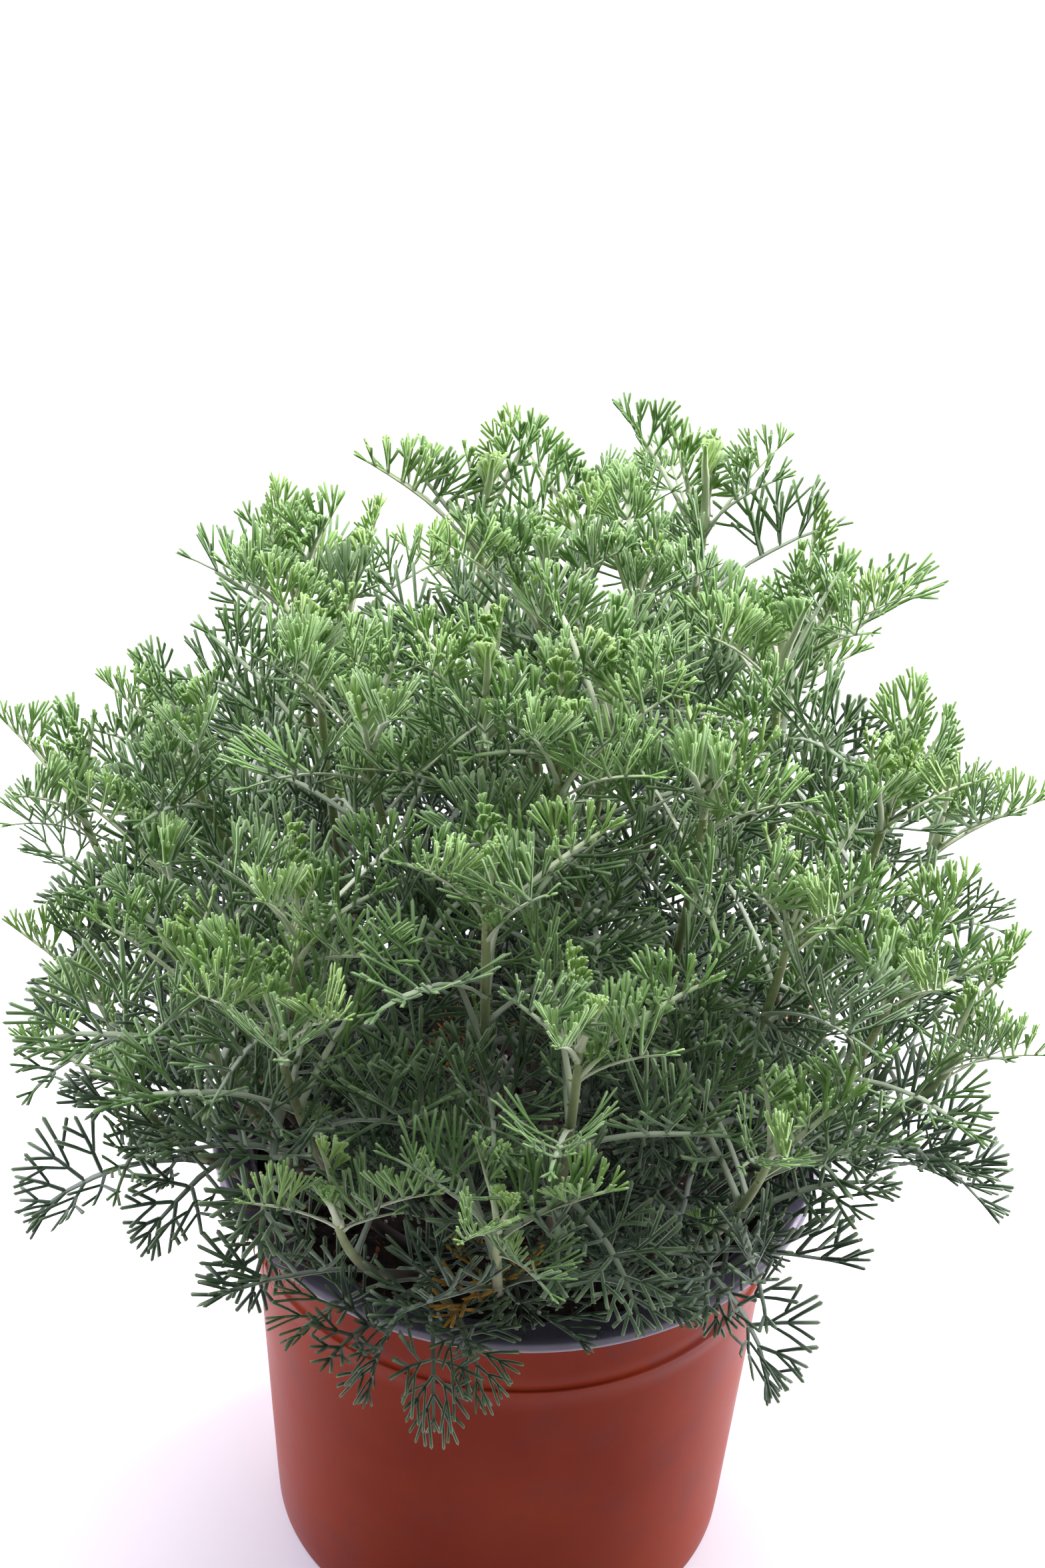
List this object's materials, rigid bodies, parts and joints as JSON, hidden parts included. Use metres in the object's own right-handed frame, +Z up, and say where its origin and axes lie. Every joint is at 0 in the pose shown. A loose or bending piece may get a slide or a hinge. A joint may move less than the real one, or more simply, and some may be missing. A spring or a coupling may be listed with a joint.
{
  "type": "potted camphor wormwood",
  "caption": "Bushy herb with thread-fine cut leaves on branching stems, in a filled round nursery pot with a flat rim and base.",
  "frame": {"origin": "centre of the underside of the pot's base", "axes": "+Z up along the pot's axis, -Y towards the front that the picture shows, +X to the right of it"},
  "size_m": [0.2076, 0.1956, 0.2489],
  "materials": {
    "pot_plastic": "satin",
    "potting_soil": "matte",
    "foliage": "matte"
  },
  "bodies": {
    "root": {"pot": "pot_plastic", "potting_soil": "potting_soil", "leafy_stem_01": "foliage", "leafy_stem_02": "foliage", "leafy_stem_03": "foliage", "leafy_stem_04": "foliage", "leafy_stem_05": "foliage", "leafy_stem_06": "foliage", "leafy_stem_07": "foliage", "leafy_stem_08": "foliage", "leafy_stem_09": "foliage", "leafy_stem_10": "foliage", "leafy_stem_11": "foliage", "leafy_stem_12": "foliage", "leafy_stem_13": "foliage", "leafy_stem_14": "foliage", "leafy_stem_15": "foliage", "leafy_stem_16": "foliage", "leafy_stem_17": "foliage", "leafy_stem_18": "foliage", "leafy_stem_19": "foliage", "leafy_stem_20": "foliage", "leafy_stem_21": "foliage", "leafy_stem_22": "foliage", "leafy_stem_23": "foliage", "leafy_stem_24": "foliage", "leafy_stem_25": "foliage", "leafy_stem_26": "foliage", "leafy_stem_27": "foliage", "leafy_stem_28": "foliage", "leafy_stem_29": "foliage", "cut_stem": "foliage"}
  },
  "joints": []
}
